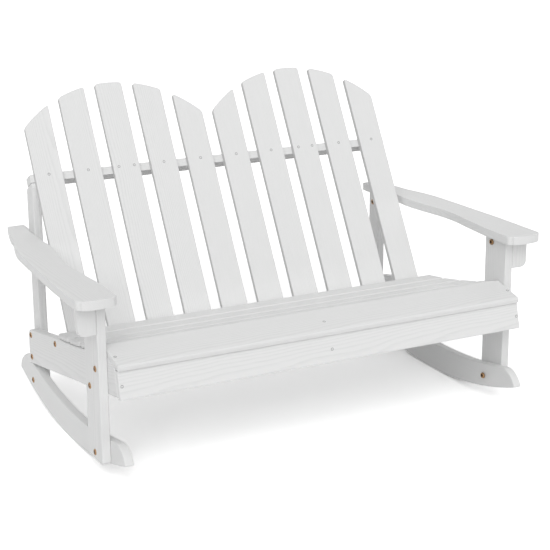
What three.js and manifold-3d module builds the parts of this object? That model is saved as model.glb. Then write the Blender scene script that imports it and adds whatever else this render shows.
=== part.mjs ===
// A small two-seat rocking bench with a fanned back, built from flat painted boards and bolts.
// Millimetres, Z up. X runs along the seat, the sitters face -Y, and the floor is at Z = 0.
import * as THREE from "three";
import { mergeVertices } from "three/addons/utils/BufferGeometryUtils.js";
import Module from "manifold-3d";

const wasm = await Module();
wasm.setup();

// Board stock
const frameThickness = 18;
const slatThickness = 12;

// Clearances
const seatingGap = 0.3;
const endClearance = 0.5;
const holeClearance = 0.3;
const holeOverrun = 1;
const weldTolerance = 0.001;

// Side frames. Setbacks are measured from the front faces of the legs.
const frameWidth = 886;
const legDepth = 74;
const legLift = 33;
const legCornerRadius = 9;
const postDepth = 41;
const postHeadLead = 6.75;
const postLift = 40;
const stringerHeight = 74.5;
const stringerPitchDegrees = 10.5;
const stringerTail = 25;
const stringerCornerRadius = 15;

// Rockers. The two arcs are struck from centres above the seat.
const rockerCentreSetback = 247;
const rockerRadius = 935;
const rockerRestLength = 40;
const rockerFrontReach = 320;
const rockerHeelReach = 70;
const rockerDepth = 61;
const rockerTopRadius = 1215;
const rockerTopShift = 27;
const rockerNoseLength = 45;
const rockerHeelRise = 20;
const noseStartShares = [0.42, -0.06];
const noseEndShares = [0.86, 0.45];
const heelStartShare = 0.46;
const heelEndShares = [0.54, 0.82];

// Seat. The crest is the high front edge, and the slats dip in a shallow hollow behind it.
const seatCrestSetback = 22;
const seatCrestHeight = 263.5;
const seatDepth = 278;
const seatPitchDegrees = 11.75;
const seatHollow = 6;
const seatSlatCount = 4;
const seatSlatGap = 9;
const seatEndGap = 8.5;
const frontBoardWidth = 78;
const frontBoardPitchDegrees = 13.4;
const frontBoardEdgeRadius = 5;
const frontBoardOverhang = 4.5;
const apronHeight = 54.5;
const apronTiltDegrees = 14;
const apronGap = 0.5;

// Back. Rises are measured up the slats from the rear edge of the seat.
const backLeanDegrees = 29.7;
const slatsPerFan = 5;
const backSlatWidth = 60;
const backSlatPitch = 86;
const backSlatTail = 43;
const backSlatCornerRadius = 5.5;
const fanRadius = 285;
const fanCentreRise = 237;
const upperRailRise = 330;
const upperRailDepth = 38;
const upperRailCornerRadius = 12;
const lowerRailDrop = 19;
const lowerRailHeight = 30;

// Arms, with the brackets and cleats that carry them
const armHeight = 353;
const armTailReach = 51;
const armWidth = 82;
const armInset = 17;
const armFrontOverhang = 38;
const armFrontBow = 8;
const armCornerRadius = 10;
const armTailInset = 6;
const bracketWidth = 36;
const bracketHeight = 61;
const bracketCornerRadius = 13;
const cleatHeight = 28;
const rearCleatLead = 17;

// The arm's edges, from the front to the tail. Each point is a share of the arm's length,
// and a share of its width outwards from its inner line.
const armOuterShares = [
  [0.167, 1],
  [0.286, 0.988],
  [0.405, 0.95],
  [0.541, 0.91],
  [0.66, 0.86],
  [0.736, 0.765],
  [0.813, 0.622],
  [0.881, 0.549],
  [0.94, 0.463],
  [0.995, 0.366],
];
const armInnerShares = [
  [0.745, 0],
  [0.677, -0.024],
  [0.6, 0.024],
  [0.532, 0.098],
  [0.464, 0.165],
  [0.388, 0.18],
  [0.303, 0.12],
  [0.235, 0.08],
  [0.167, 0.035],
];

// Bolts and nuts
const boltHeadRadius = 6.2;
const boltHeadHeight = 3.6;
const boltShankRadius = 3;
const boltSocketRadius = 3.3;
const boltSocketDepth = 2;
const nutHeight = 5;
const nutWeb = 1;
const railBoltDepth = 40;
const boltGripShare = 0.8;
const headFlatShare = 0.75;
const headRimShare = 0.55;

// Bolt places, from the edges of the board that each bolt goes through
const upperLegBoltInset = 18.5;
const upperLegBoltRise = 52;
const lowerLegBoltInset = 22.5;
const lowerLegBoltRise = 14.5;
const footBoltInset = 37.5;
const footBoltRise = 15.5;
const stringerBoltInset = 17;
const stringerBoltDrop = 12;
const stringerBoltRise = 15;
const rockerBoltRise = 9;
const cleatBoltInset = 12.5;
const frontCleatBoltInset = 24;
const rearCleatBoltInset = 20;

// Facets
const arcSteps = 20;
const curveSteps = 10;
const splineSteps = 24;
const cornerSteps = 5;
const holeSides = 12;

// Colours and finishes
const paint = { color: 0xe6e6e4, roughness: 0.55, metalness: 0 };
const plating = { color: 0x7a5a3c, roughness: 0.35, metalness: 0.9 };

const degrees = THREE.MathUtils.degToRad;
const point = (y, z) => new THREE.Vector2(y, z);
// A direction in the side plane, turned up from the rearward axis.
const heading = (angle) => point(Math.cos(angle), Math.sin(angle));
const along = (start, direction, distance) => start.clone().addScaledVector(direction, distance);
const leftOf = (direction) => point(-direction.y, direction.x);

// The point where two lines meet, each given by a point and a direction.
function meet(a, aDirection, b, bDirection) {
  const between = b.clone().sub(a);
  const distance = between.cross(bDirection) / aDirection.cross(bDirection);
  return along(a, aDirection, distance);
}

// Where a line going along its direction leaves a circle.
function leaveCircle(centre, radius, start, direction) {
  const between = centre.clone().sub(start);
  const nearest = between.dot(direction);
  const offset = between.cross(direction);
  return along(start, direction, nearest + Math.sqrt(radius * radius - offset * offset));
}

// Points along an arc under its centre, from one setback to another.
function hangingArc(centre, radius, from, to, steps) {
  const start = Math.asin((from - centre.x) / radius);
  const end = Math.asin((to - centre.x) / radius);
  return Array.from({ length: steps + 1 }, (_, i) => {
    const angle = start + ((end - start) * i) / steps;
    return point(centre.x + radius * Math.sin(angle), centre.y - radius * Math.cos(angle));
  });
}

const curve = (a, b, c, d) => new THREE.CubicBezierCurve(a, b, c, d).getPoints(curveSteps);

// Replaces a corner by an arc that touches both of its edges.
function rounded(before, corner, after, radius) {
  const inward = before.clone().sub(corner).normalize();
  const outward = after.clone().sub(corner).normalize();
  const half = Math.acos(THREE.MathUtils.clamp(inward.dot(outward), -1, 1)) / 2;
  const start = along(corner, inward, radius / Math.tan(half));
  const end = along(corner, outward, radius / Math.tan(half));
  const middle = inward.clone().add(outward).normalize();
  const centre = along(corner, middle, radius / Math.sin(half));
  const from = start.clone().sub(centre).angle();
  let sweep = end.clone().sub(centre).angle() - from;
  if (sweep > Math.PI) sweep -= 2 * Math.PI;
  if (sweep < -Math.PI) sweep += 2 * Math.PI;
  return Array.from({ length: cornerSteps + 1 }, (_, i) =>
    along(centre, heading(from + (sweep * i) / cornerSteps), radius),
  );
}

// A board cut to an outline and extruded along the outline's own normal.
function cutBoard(points, thickness) {
  return new THREE.ExtrudeGeometry(new THREE.Shape(points), {
    depth: thickness,
    bevelEnabled: false,
  });
}

// The same, with the outline in the side plane (Y, Z) and the thickness along X.
const sidePlane = new THREE.Matrix4().makeBasis(
  new THREE.Vector3(0, 1, 0),
  new THREE.Vector3(0, 0, 1),
  new THREE.Vector3(1, 0, 0),
);
const sideBoard = (points, thickness) => cutBoard(points, thickness).applyMatrix4(sidePlane);

// A closed mesh as a solid that can be cut, and back.
function solidOf(geometry) {
  const bare = geometry.clone();
  bare.deleteAttribute("normal");
  bare.deleteAttribute("uv");
  const merged = mergeVertices(bare, weldTolerance);
  return new wasm.Manifold(
    new wasm.Mesh({
      numProp: 3,
      vertProperties: merged.attributes.position.array,
      triVerts: new Uint32Array(merged.index.array),
    }),
  );
}

function geometryOf(solid) {
  const mesh = solid.getMesh();
  const geometry = new THREE.BufferGeometry();
  geometry.setAttribute("position", new THREE.BufferAttribute(mesh.vertProperties, 3));
  geometry.setIndex(new THREE.BufferAttribute(mesh.triVerts, 1));
  geometry.computeVertexNormals();
  return geometry;
}

// Drills holes along X, each at a point of the side plane and from one X to another.
function drilled(geometry, holes) {
  const radius = boltShankRadius + holeClearance;
  let solid = solidOf(geometry);
  for (const { at, from, to } of holes) {
    const drill = new THREE.CylinderGeometry(radius, radius, to - from, holeSides);
    drill.rotateZ(Math.PI / 2);
    drill.translate((from + to) / 2, at.x, at.y);
    solid = solid.subtract(solidOf(drill));
  }
  return geometryOf(solid);
}

const paintMaterial = new THREE.MeshStandardMaterial(paint);
const platingMaterial = new THREE.MeshStandardMaterial(plating);

function addMesh(group, name, geometry, material = paintMaterial) {
  const mesh = new THREE.Mesh(geometry, material);
  mesh.name = name;
  group.add(mesh);
  return mesh;
}

// Planes across the bench: each side frame has its stringer and rocker in one layer,
// the leg bolted outside them and the post inside.
const legInnerX = frameWidth / 2;
const legOuterX = legInnerX + frameThickness;
const stringerInnerX = legInnerX - frameThickness;
const postInnerX = stringerInnerX - frameThickness;

// Seat lines in the side plane
const crest = point(seatCrestSetback, seatCrestHeight);
const seatDirection = heading(-degrees(seatPitchDegrees));
const seatRear = along(crest, seatDirection, seatDepth);
const seatHalf = seatDepth / 2;
const seatRadius = (seatHalf ** 2 + seatHollow ** 2) / (2 * seatHollow);
const seatArcCentre = along(
  crest.clone().add(seatRear).divideScalar(2),
  leftOf(seatDirection),
  seatRadius - seatHollow,
);

// A point of the hollow, by its distance from the crest and its depth below the surface.
function seatPoint(distance, depth) {
  const start = crest.clone().sub(seatArcCentre).angle();
  const end = seatRear.clone().sub(seatArcCentre).angle();
  const angle = start + ((end - start) * distance) / seatDepth;
  return along(seatArcCentre, heading(angle), seatRadius + depth);
}

const seatSlatPitch = (seatDepth - 2 * seatEndGap + seatSlatGap) / seatSlatCount;
const seatSlatWidth = seatSlatPitch - seatSlatGap;
const seatSlatStart = seatEndGap - seatSlatGap / 2;
const bearingDepth = slatThickness + seatingGap;
// The flats that carry the slats run between these points of the stringers' top edges.
const bearings = Array.from({ length: seatSlatCount + 1 }, (_, i) =>
  seatPoint(seatSlatStart + i * seatSlatPitch, bearingDepth),
);

// Front board and apron lines
const frontBoardDirection = heading(Math.PI + degrees(frontBoardPitchDegrees));
const frontBoardNormal = leftOf(frontBoardDirection).negate();
const boardUnderside = along(crest, frontBoardNormal, -bearingDepth);
const apronHead = along(
  along(crest, frontBoardNormal, -slatThickness),
  frontBoardDirection,
  frontBoardWidth - frontBoardOverhang,
);
const apronUp = heading(Math.PI / 2 - degrees(apronTiltDegrees));
const apronInward = leftOf(apronUp).negate();
const apronBack = along(apronHead, apronInward, slatThickness + seatingGap);
const apronFoot = along(apronBack, apronUp, -apronGap - apronHeight);

// Back lines. The slats stand on the rear edge of the seat and lean back.
const backUp = heading(Math.PI / 2 - degrees(backLeanDegrees));
const backInward = leftOf(backUp).negate();
const backPoint = (depth, rise) => along(along(seatRear, backInward, depth), backUp, rise);
const railFace = slatThickness + seatingGap;
const lowerRailCentre = backPoint(railFace + frameThickness / 2, -lowerRailDrop);

// The post's front face stands just ahead of where the slats meet the upper rail's underside.
const railUnder = backPoint(railFace, upperRailRise - frameThickness / 2 - seatingGap);
const postSetback = railUnder.x - postHeadLead;
const armLength = armFrontOverhang + postSetback + postDepth + armTailReach;

// Stringer lines
const stringerDirection = heading(-degrees(stringerPitchDegrees));
const tailTop = bearings[seatSlatCount];
const tailFoot = along(tailTop, leftOf(stringerDirection), -stringerHeight);
const stringerRear = postSetback + stringerTail;
const upright = heading(Math.PI / 2);
const stringerTopCorner = meet(tailTop, stringerDirection, point(stringerRear, 0), upright);
const stringerLowCorner = meet(tailFoot, stringerDirection, point(stringerRear, 0), upright);

// Bolt places in the side plane
const stringerBoltSetback = stringerRear - stringerBoltInset;
const lowerStringerBolt = along(
  meet(tailFoot, stringerDirection, point(stringerBoltSetback, 0), upright),
  upright,
  stringerBoltRise,
);
const upperStringerBolt = along(
  meet(tailTop, stringerDirection, point(stringerBoltSetback, 0), upright),
  upright,
  -stringerBoltDrop,
);
const rockerPostBolt = point(stringerBoltSetback, postLift + rockerBoltRise);
const upperLegBolt = along(
  meet(tailFoot, stringerDirection, point(upperLegBoltInset, 0), upright),
  upright,
  upperLegBoltRise,
);
const lowerLegBolt = along(
  meet(tailFoot, stringerDirection, point(legDepth - lowerLegBoltInset, 0), upright),
  upright,
  lowerLegBoltRise,
);
const footBolt = point(footBoltInset, legLift + footBoltRise);
const frontCleatBolt = point(legDepth - frontCleatBoltInset, armHeight - cleatBoltInset);
const rearCleatBolt = point(
  postSetback + postDepth - rearCleatBoltInset,
  armHeight - cleatBoltInset,
);

const blindDepth = frameThickness * boltGripShare;
const drillDepth = blindDepth + holeClearance;

// The top edge from behind the apron, under the front board and along the slats.
function seatEdge() {
  const nose = meet(apronBack, apronUp, boardUnderside, frontBoardDirection);
  const firstBearing = bearings[1].clone().sub(bearings[0]).normalize();
  const ridge = meet(boardUnderside, frontBoardDirection, bearings[0], firstBearing);
  return [nose, ridge, ...bearings.slice(1)];
}

function sideStringer() {
  const toe = meet(apronBack, apronUp, tailFoot, stringerDirection);
  const outline = [
    toe,
    ...seatEdge(),
    ...rounded(tailTop, stringerTopCorner, stringerLowCorner, stringerCornerRadius),
    stringerLowCorner,
  ];
  const inside = frameThickness - drillDepth;
  const through = frameThickness + holeOverrun;
  return drilled(sideBoard(outline, frameThickness), [
    { at: upperLegBolt, from: inside, to: through },
    { at: lowerLegBolt, from: inside, to: through },
    { at: upperStringerBolt, from: -holeOverrun, to: through },
    { at: lowerStringerBolt, from: -holeOverrun, to: through },
    { at: lowerRailCentre, from: -holeOverrun, to: through },
  ]);
}

function centreStringer() {
  const face = backPoint(railFace - seatingGap, 0);
  const lastBearing = bearings[seatSlatCount].clone().sub(bearings[seatSlatCount - 1]);
  const outline = [
    apronFoot,
    ...seatEdge(),
    meet(tailTop, lastBearing, face, backUp),
    backPoint(railFace - seatingGap, -lowerRailDrop - lowerRailHeight / 2),
  ];
  return sideBoard(outline, frameThickness);
}

function rocker() {
  const centre = point(rockerCentreSetback, 0);
  const restHalf = rockerRestLength / 2;
  centre.y = Math.sqrt(rockerRadius * rockerRadius - restHalf * restHalf);
  const topCentre = point(rockerCentreSetback - rockerTopShift, rockerDepth + rockerTopRadius);
  const front = rockerCentreSetback - rockerFrontReach;
  const rear = stringerRear + rockerHeelReach;
  const half = arcSteps / 2;
  const sole = [
    ...hangingArc(centre, rockerRadius, front, rockerCentreSetback - restHalf, half),
    ...hangingArc(centre, rockerRadius, rockerCentreSetback + restHalf, rear, half),
  ];
  const heelTip = sole[sole.length - 1];
  const noseTip = sole[0];
  const notchRear = stringerRear + seatingGap;
  const notchStart = along(stringerLowCorner, leftOf(stringerDirection), -seatingGap);
  const notchCorner = meet(notchStart, stringerDirection, point(notchRear, 0), upright);
  const heelTop = along(point(notchRear, stringerLowCorner.y), upright, rockerHeelRise);
  const heelRun = heelTip.x - heelTop.x;
  const heelDrop = heelTop.y - heelTip.y;
  const heel = curve(
    heelTip,
    point(heelTip.x, heelTip.y + heelDrop * heelStartShare),
    point(heelTop.x + heelRun * heelEndShares[0], heelTip.y + heelDrop * heelEndShares[1]),
    heelTop,
  );
  const wedge = leaveCircle(topCentre, rockerTopRadius, notchCorner, stringerDirection);
  const deck = hangingArc(topCentre, rockerTopRadius, wedge.x, front + rockerNoseLength, arcSteps);
  const noseTop = deck[deck.length - 1];
  const noseDrop = noseTop.y - noseTip.y;
  const nosePoint = ([lengthShare, dropShare]) =>
    point(noseTop.x - rockerNoseLength * lengthShare, noseTop.y - noseDrop * dropShare);
  const nose = curve(noseTop, nosePoint(noseStartShares), nosePoint(noseEndShares), noseTip);
  const outline = [...sole, ...heel.slice(1), notchCorner, ...deck, ...nose.slice(1, -1)];
  const through = frameThickness + holeOverrun;
  return drilled(sideBoard(outline, frameThickness), [
    { at: footBolt, from: -holeOverrun, to: through },
    { at: rockerPostBolt, from: -holeOverrun, to: through },
  ]);
}

function frontLeg() {
  const foot = [point(0, legLift), point(legDepth, legLift)];
  const head = [point(legDepth, armHeight), point(0, armHeight)];
  const outline = [
    ...rounded(head[1], foot[0], foot[1], legCornerRadius),
    ...rounded(foot[0], foot[1], head[0], legCornerRadius),
    ...head,
  ];
  const through = frameThickness + holeOverrun;
  return drilled(
    sideBoard(outline, frameThickness),
    [upperLegBolt, lowerLegBolt, footBolt, frontCleatBolt].map((at) => ({
      at,
      from: -holeOverrun,
      to: through,
    })),
  );
}

// The post's head is bevelled to the backs of the slats and to the tilted upper rail.
function backPost() {
  const rear = postSetback + postDepth;
  const outline = [
    point(postSetback, postLift),
    point(rear, postLift),
    meet(railUnder, backInward, point(rear, 0), upright),
    railUnder,
    meet(railUnder, backUp, point(postSetback, 0), upright),
  ];
  const inside = frameThickness - drillDepth;
  const through = frameThickness + holeOverrun;
  return drilled(sideBoard(outline, frameThickness), [
    { at: upperStringerBolt, from: inside, to: through },
    { at: lowerStringerBolt, from: inside, to: through },
    { at: rockerPostBolt, from: inside, to: through },
    { at: rearCleatBolt, from: -holeOverrun, to: through },
  ]);
}

// The arm seen from above: X outwards from the inner line, Y from the front of the bow.
// Its tail steps inwards behind the post.
function armrest() {
  const place = ([lengthShare, widthShare]) =>
    point(widthShare * armWidth, lengthShare * armLength);
  const innerFront = place(armInnerShares[armInnerShares.length - 1]);
  const inner = innerFront.x;
  const frontOuter = point(armWidth, armFrontBow);
  const frontInner = point(inner, armFrontBow);
  const tailOuter = place(armOuterShares[armOuterShares.length - 1]);
  const frontMiddle = point((inner + armWidth) / 2, -armFrontBow);
  const bow = new THREE.QuadraticBezierCurve(frontInner, frontMiddle, frontOuter);
  const outerEdge = new THREE.SplineCurve(armOuterShares.map(place));
  const innerEdge = new THREE.SplineCurve(armInnerShares.map(place));
  const postSide = armInset - frameThickness + seatingGap;
  const postFront = postSetback + armFrontOverhang;
  const notchRear = postFront + postDepth + seatingGap;
  const tailInner = postSide - armTailInset;
  const tail = [
    point(tailOuter.x, armLength),
    point(tailInner, armLength),
    point(tailInner, notchRear),
    point(postSide, notchRear),
    point(postSide, postFront - frameThickness),
  ];
  const outline = [
    ...bow.getPoints(curveSteps).slice(1, -1),
    ...rounded(frontInner, frontOuter, place(armOuterShares[0]), armCornerRadius),
    ...outerEdge.getPoints(splineSteps),
    ...tail,
    ...innerEdge.getPoints(splineSteps),
    ...rounded(innerFront, frontInner, frontOuter, armCornerRadius),
  ];
  return cutBoard(outline, frameThickness);
}

// The bracket stands across the bench, outside the leg and level with its front face.
function armBracket() {
  const low = [point(0, -bracketHeight), point(bracketWidth, -bracketHeight)];
  const outline = [
    point(0, 0),
    low[0],
    ...rounded(low[0], low[1], point(bracketWidth, 0), bracketCornerRadius),
    point(bracketWidth, 0),
  ];
  return cutBoard(outline, frameThickness);
}

function armCleat(length, boltSetback) {
  const outline = [
    point(0, -cleatHeight),
    point(length, -cleatHeight),
    point(length, 0),
    point(0, 0),
  ];
  return drilled(sideBoard(outline, frameThickness), [
    { at: point(boltSetback, -cleatBoltInset), from: -holeOverrun, to: drillDepth },
  ]);
}

// A round head with a recess in its top, as an outline from its axis to its seat.
const headOutline = (height) => [
  point(0, height - boltSocketDepth),
  point(boltSocketRadius, height - boltSocketDepth),
  point(boltSocketRadius, height),
  point(boltHeadRadius * headFlatShare, height),
  point(boltHeadRadius, height * headRimShare),
  point(boltHeadRadius, 0),
];

// Turned about the X axis, with the head at the +X end.
const turned = (outline) =>
  new THREE.LatheGeometry(outline.reverse(), holeSides).rotateZ(-Math.PI / 2);

const bolt = (length) =>
  turned([
    ...headOutline(boltHeadHeight),
    point(boltShankRadius, 0),
    point(boltShankRadius, -length),
    point(0, -length),
  ]);

// The foot bolt's cap nut has the same head, bored from behind for the end of the shank.
const nutBore = nutHeight - boltSocketDepth - nutWeb;
const capNut = () =>
  turned([
    ...headOutline(nutHeight),
    point(boltShankRadius + holeClearance, 0),
    point(boltShankRadius + holeClearance, nutBore),
    point(0, nutBore),
  ]);

// One side of the bench, as the side at +X. The other side is its mirror image.
function buildSide(side) {
  const group = new THREE.Group();
  const board = (name, geometry, x, y = 0, z = 0) =>
    addMesh(group, side + "_" + name, geometry).position.set(x, y, z);

  board("rocker", rocker(), stringerInnerX);
  board("side_stringer", sideStringer(), stringerInnerX);
  board("front_leg", frontLeg(), legInnerX);
  board("back_post", backPost(), postInnerX);
  board("armrest", armrest(), legInnerX - armInset, -armFrontOverhang, armHeight);

  const bracket = addMesh(group, side + "_arm_bracket", armBracket());
  bracket.rotation.x = Math.PI / 2;
  bracket.position.set(legOuterX, frameThickness, armHeight);

  const cleat = (name, x, start, end, bolt) =>
    board(name, armCleat(end - start, bolt.x - start), x, start, armHeight);
  cleat("front_arm_cleat", legOuterX, frameThickness, legDepth, frontCleatBolt);
  const rearCleatStart = postSetback - rearCleatLead;
  cleat("rear_arm_cleat", stringerInnerX, rearCleatStart, postSetback + postDepth, rearCleatBolt);

  // The head's seat is at x, and the shank points inwards, or outwards where it is turned.
  const fasten = (name, at, x, length, outwards = false) => {
    const mesh = addMesh(group, side + "_" + name, bolt(length), platingMaterial);
    mesh.position.set(x, at.x, at.y);
    if (outwards) mesh.rotation.z = Math.PI;
  };
  const grip = frameThickness + blindDepth;
  fasten("upper_leg_bolt", upperLegBolt, legOuterX, grip);
  fasten("lower_leg_bolt", lowerLegBolt, legOuterX, grip);
  fasten("foot_bolt", footBolt, legOuterX, 2 * frameThickness + nutBore - holeClearance);
  fasten("upper_post_bolt", upperStringerBolt, legInnerX, grip);
  fasten("lower_post_bolt", lowerStringerBolt, legInnerX, grip);
  fasten("rocker_post_bolt", rockerPostBolt, legInnerX, grip);
  fasten("rail_bolt", lowerRailCentre, legInnerX, frameThickness + railBoltDepth);
  fasten("front_cleat_bolt", frontCleatBolt, legInnerX, grip, true);
  fasten("rear_cleat_bolt", rearCleatBolt, postInnerX, grip, true);

  const footNut = addMesh(group, side + "_foot_nut", capNut(), platingMaterial);
  footNut.position.set(stringerInnerX, footBolt.x, footBolt.y);
  footNut.rotation.z = Math.PI;
  return group;
}

function buildSeat() {
  const group = new THREE.Group();
  const length = frameWidth - 2 * endClearance;
  for (let i = 0; i < seatSlatCount; i++) {
    const run = bearings[i + 1].clone().sub(bearings[i]);
    const direction = run.clone().normalize();
    const centre = along(
      along(bearings[i], run, 1 / 2),
      leftOf(direction),
      seatingGap + slatThickness / 2,
    );
    const slat = new THREE.BoxGeometry(length, seatSlatWidth, slatThickness);
    const mesh = addMesh(group, "seat_slat_" + (i + 1), slat);
    mesh.position.set(0, centre.x, centre.y);
    mesh.rotation.x = direction.angle();
  }

  const front = [point(0, 0), point(0, -slatThickness), point(-frontBoardWidth, -slatThickness)];
  const nose = point(-frontBoardWidth, 0);
  const boardOutline = [
    ...front,
    ...rounded(front[2], nose, front[0], frontBoardEdgeRadius),
  ];
  const board = addMesh(group, "front_seat_board", sideBoard(boardOutline, length));
  board.position.set(-length / 2, crest.x, crest.y);
  board.rotation.x = degrees(frontBoardPitchDegrees);

  const apronOutline = [
    point(0, -apronGap),
    point(0, -apronGap - apronHeight),
    point(slatThickness, -apronGap - apronHeight),
    point(slatThickness, -apronGap),
  ];
  const apron = addMesh(group, "apron", sideBoard(apronOutline, length));
  apron.position.set(-length / 2, apronHead.x, apronHead.y);
  apron.rotation.x = -degrees(apronTiltDegrees);

  addMesh(group, "centre_stringer", centreStringer()).position.x = -frameThickness / 2;
  return group;
}

// A back slat, standing on the seat's rear edge. Its top follows the arc of its fan.
function backSlat(offset) {
  const half = backSlatWidth / 2;
  const arcRise = (x) => fanCentreRise + Math.sqrt(fanRadius ** 2 - (offset + x) ** 2);
  const shape = new THREE.Shape();
  const edge = half - backSlatCornerRadius;
  shape.moveTo(half, -backSlatTail);
  shape.lineTo(half, arcRise(half) - backSlatCornerRadius);
  shape.quadraticCurveTo(half, arcRise(half), edge, arcRise(edge));
  const from = Math.atan2(arcRise(edge) - fanCentreRise, offset + edge);
  const to = Math.atan2(arcRise(-edge) - fanCentreRise, offset - edge);
  shape.absarc(-offset, fanCentreRise, fanRadius, from, to, false);
  shape.quadraticCurveTo(-half, arcRise(-half), -half, arcRise(-half) - backSlatCornerRadius);
  shape.lineTo(-half, -backSlatTail);
  const geometry = new THREE.ExtrudeGeometry(shape, {
    depth: slatThickness,
    bevelEnabled: false,
    curveSegments: curveSteps,
  });
  geometry.rotateX(Math.PI / 2);
  return geometry.translate(0, slatThickness, 0);
}

function buildBack() {
  const group = new THREE.Group();
  group.position.set(0, seatRear.x, seatRear.y);
  group.rotation.x = -degrees(backLeanDegrees);
  const count = 2 * slatsPerFan;
  for (let i = 0; i < count; i++) {
    const x = (i - (count - 1) / 2) * backSlatPitch;
    const fanCentre = Math.sign(x) * (slatsPerFan / 2) * backSlatPitch;
    addMesh(group, "back_slat_" + (i + 1), backSlat(x - fanCentre)).position.x = x;
  }

  const railHalf = stringerInnerX;
  const rearLeft = point(-railHalf, upperRailDepth);
  const rearRight = point(railHalf, upperRailDepth);
  const frontLeft = point(-railHalf, 0);
  const frontRight = point(railHalf, 0);
  const upperOutline = [
    frontLeft,
    frontRight,
    ...rounded(frontRight, rearRight, rearLeft, upperRailCornerRadius),
    ...rounded(rearRight, rearLeft, frontLeft, upperRailCornerRadius),
  ];
  const upper = addMesh(group, "upper_back_rail", cutBoard(upperOutline, frameThickness));
  upper.position.set(0, railFace, upperRailRise - frameThickness / 2);

  const lowerGeometry = new THREE.BoxGeometry(2 * railHalf, frameThickness, lowerRailHeight);
  const centre = point(0, 0);
  const boltEnd = railHalf - railBoltDepth - holeClearance;
  const lower = addMesh(
    group,
    "lower_back_rail",
    drilled(lowerGeometry, [
      { at: centre, from: boltEnd, to: railHalf + holeOverrun },
      { at: centre, from: -railHalf - holeOverrun, to: -boltEnd },
    ]),
  );
  lower.position.set(0, railFace + frameThickness / 2, -lowerRailDrop);
  return group;
}

const right = buildSide("right");
const left = buildSide("left");
left.scale.x = -1;

// The origin is on the floor, under the middle of the whole bench.
const benchFront = rockerCentreSetback - rockerFrontReach;
const benchRear = backPoint(slatThickness, fanCentreRise + fanRadius).x;
const bench = new THREE.Group();
bench.name = "rocking_bench";
bench.position.y = -(benchFront + benchRear) / 2;
bench.add(right, left, buildSeat(), buildBack());

const part = new THREE.Group();
part.add(bench);

export default part;
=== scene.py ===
"""A small two-seat rocking bench in white painted wood, with bolts and screws, in a plain studio.

Metres, Z up. X runs along the seat, the sitters face -Y, and the floor is at Z = 0.
"""

import math
import random

import bmesh
import bpy
from bpy.props import FloatProperty, FloatVectorProperty, IntProperty, PointerProperty
from mathutils import Matrix, Vector


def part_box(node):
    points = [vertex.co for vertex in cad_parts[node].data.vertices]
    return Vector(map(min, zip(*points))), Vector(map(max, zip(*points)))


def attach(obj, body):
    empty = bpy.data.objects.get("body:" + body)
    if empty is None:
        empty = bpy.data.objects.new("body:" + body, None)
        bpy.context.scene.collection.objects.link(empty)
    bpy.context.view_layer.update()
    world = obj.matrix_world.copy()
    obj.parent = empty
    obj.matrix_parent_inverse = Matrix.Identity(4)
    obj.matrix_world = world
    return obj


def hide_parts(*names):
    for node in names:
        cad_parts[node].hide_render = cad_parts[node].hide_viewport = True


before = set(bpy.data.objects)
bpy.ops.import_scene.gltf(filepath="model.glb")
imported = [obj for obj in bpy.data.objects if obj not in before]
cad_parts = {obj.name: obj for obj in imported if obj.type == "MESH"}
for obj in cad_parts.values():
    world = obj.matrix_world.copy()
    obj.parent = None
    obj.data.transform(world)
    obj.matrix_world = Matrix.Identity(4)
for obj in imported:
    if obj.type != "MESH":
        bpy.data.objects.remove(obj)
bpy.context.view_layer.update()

bl_info = {
    "name": "Rocking Bench",
    "version": (1, 0, 0),
    "blender": (4, 5, 0),
    "location": "3D View > Sidebar > Bench",
    "description": "Paints the boards of a two-seat rocking bench and fits its bolts and screws",
    "category": "Object",
}

MM = 0.001
BODY = "root"
SIDES = ("left", "right")
X, Y, Z = Vector((1, 0, 0)), Vector((0, 1, 0)), Vector((0, 0, 1))

# Welding and easing the boards, and a radius that takes in every bolt hole
WELD = 0.01 * MM
FLAT_ANGLE = math.radians(0.3)
SHARP_ANGLE = math.radians(35)
WHOLLY_BY_AREA = 100
BORE_RADIUS = 3.5 * MM

# Attributes that the meshes carry
GRAIN = "grain"
BOARD = "board"
RECESS = "recess"
AIM = "aim"

# Slopes of the boards in the side plane, turned up from the rearward axis
STRINGER_PITCH = math.radians(-10.5)
FRONT_BOARD_PITCH = math.radians(13.4)
APRON_TILT = math.radians(14)
BACK_LEAN = math.radians(29.7)
SEAT_PITCH = math.radians(-11.75)

SEAT_SLATS = 4
SLAT_COLUMNS = 29
NEARLY_NOTHING = 1e-6

# How the grain runs, in waves to the metre along and across a board
WAVE_ALONG, WAVE_ACROSS = 5, 9
FIBRE_ALONG, FIBRE_ACROSS = 26, 1100
WAVINESS = 5 * MM
TAPER = 0.012

# Where the dark wood of a year begins and is full, as shares of the year
LATE_WOOD, FULL_RING = 0.35, 0.86

# The fibres' relief and the slats' ring spacing, as shares of the rings' relief and spacing
FIBRE_RELIEF = 0.8
SLAT_RINGS = 0.9

# The paint: its specular level, how uneven its roughness is, and the fibres where it goes thin
PAINT_SHEEN = 0.35
PAINT_UNEVENNESS = 0.16
THICK_FIBRE, THIN_FIBRE = 0.2, 0.7

# Painted shade on slat sides and rail faces, and how squarely a face looks along Across
SLAT_SIDE_SHADE, RAIL_FACE_SHADE = 0.55, 0.85
SIDEWAYS, SQUARE_ON = 0.7, 0.95

# Marks on metal: how much finer and fainter the small ones are, and where they wear through
FINER, FINE_SHARE = 4, 0.4
UNWORN, WORN = 0.5, 0.95
WORN_ROUGHNESS = 0.2

# How far from its middle a board's tree had its heart
HEART_ALONG = 5
HEART_ACROSS = (20 * MM, 70 * MM)
HEART_DEPTH = (15 * MM, 50 * MM)

BOLTS = (
    "upper_leg_bolt",
    "lower_leg_bolt",
    "foot_bolt",
    "upper_post_bolt",
    "lower_post_bolt",
    "rocker_post_bolt",
    "rail_bolt",
)
INWARD_HEADS = ("front_cleat_bolt", "rear_cleat_bolt", "foot_nut")

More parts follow.
